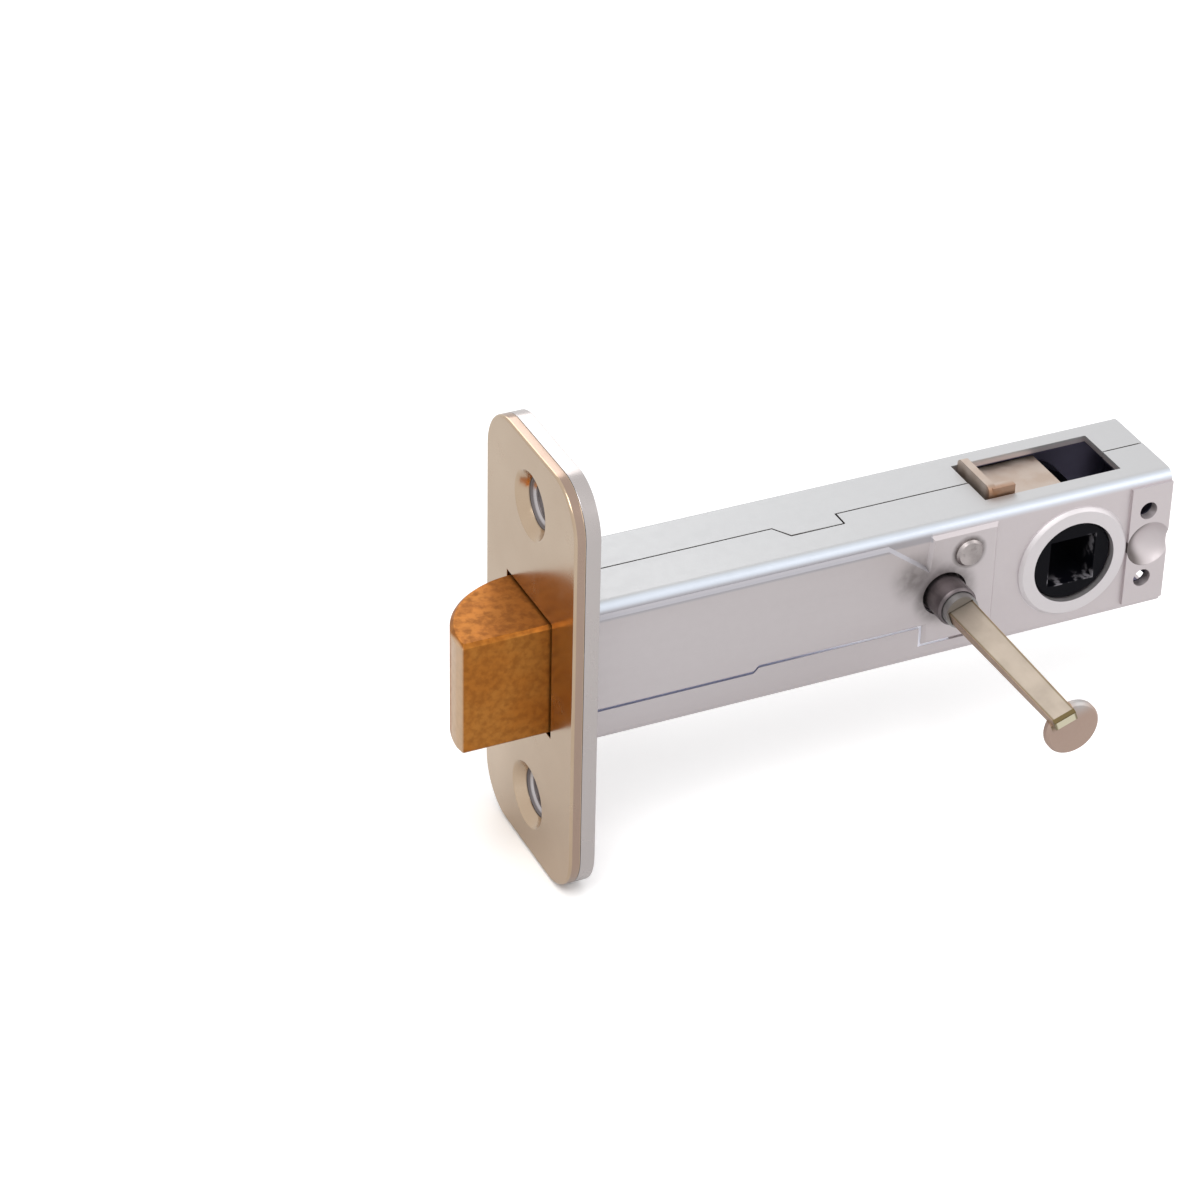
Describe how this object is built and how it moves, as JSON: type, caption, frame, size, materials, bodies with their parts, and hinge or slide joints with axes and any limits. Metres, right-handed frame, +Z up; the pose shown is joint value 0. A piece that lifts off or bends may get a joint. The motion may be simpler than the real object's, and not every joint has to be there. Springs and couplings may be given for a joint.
{
  "type": "tubular privacy spring latch",
  "caption": "Spring latch with a bevelled bolt, a two-layer faceplate, a folded sheet case, a square-drive hub and a push-in privacy pin.",
  "frame": {"origin": "midway between the two screw holes, on the faceplate's back face; its front face is at X = -3.3 mm", "axes": "+X runs along the case, away from the bolt; +Z up along the faceplate; the privacy pin points to -Y"},
  "size_m": [0.0949, 0.0497, 0.0572],
  "materials": {
    "satin_nickel": "satin",
    "zinc": "satin",
    "zinc_case": "satin",
    "bolt_brass": "tarnished",
    "raw_steel": "matt",
    "spring_steel": "satin",
    "retractor_strip": "satin",
    "black_plastic": "gloss",
    "grey_sleeve": "satin",
    "pin_bronze": "satin"
  },
  "bodies": {
    "case": {"front_plate": "satin_nickel", "backing_plate": "zinc", "near_shell": "zinc_case", "far_shell": "zinc_case", "spring_anchor": "raw_steel", "return_spring": "spring_steel", "pin_sleeve": "grey_sleeve", "detent_ring": "spring_steel", "case_rivet": "zinc"},
    "hub_body": {"hub": "black_plastic"},
    "retractor_body": {"retractor": "retractor_strip", "bolt_spring": "spring_steel"},
    "bolt_body": {"latch_bolt": "bolt_brass", "bolt_tail": "raw_steel", "tail_pin": "raw_steel"},
    "pin_body": {"lock_plunger": "raw_steel", "privacy_pin": "pin_bronze"}
  },
  "joints": [
    {"name": "hub_turn", "type": "hinge", "parent": "case", "child": "hub_body", "pos_m": [0.06655, 0, 0], "axis": [0, 1, 0], "range_deg": [0, 90], "stiffness_Nm_per_rad": 0.02, "springref_deg": -28.65},
    {"name": "retractor_slide", "type": "slide", "parent": "case", "child": "retractor_body", "axis": [1, 0, 0], "range_m": [0, 0.0104], "stiffness_N_per_m": 250, "springref_m": -0.006, "deforming": ["return_spring"]},
    {"name": "bolt_slide", "type": "slide", "parent": "retractor_body", "child": "bolt_body", "axis": [1, 0, 0], "range_m": [0, 0.0104], "stiffness_N_per_m": 120, "springref_m": -0.008, "deforming": ["bolt_spring"]},
    {"name": "pin_push", "type": "slide", "parent": "case", "child": "pin_body", "axis": [0, 1, 0], "range_m": [0, 0.0035]}
  ],
  "couplings": [
    {"joint": "hub_turn", "follows": "retractor_slide", "rad_per_m": 151.04}
  ]
}
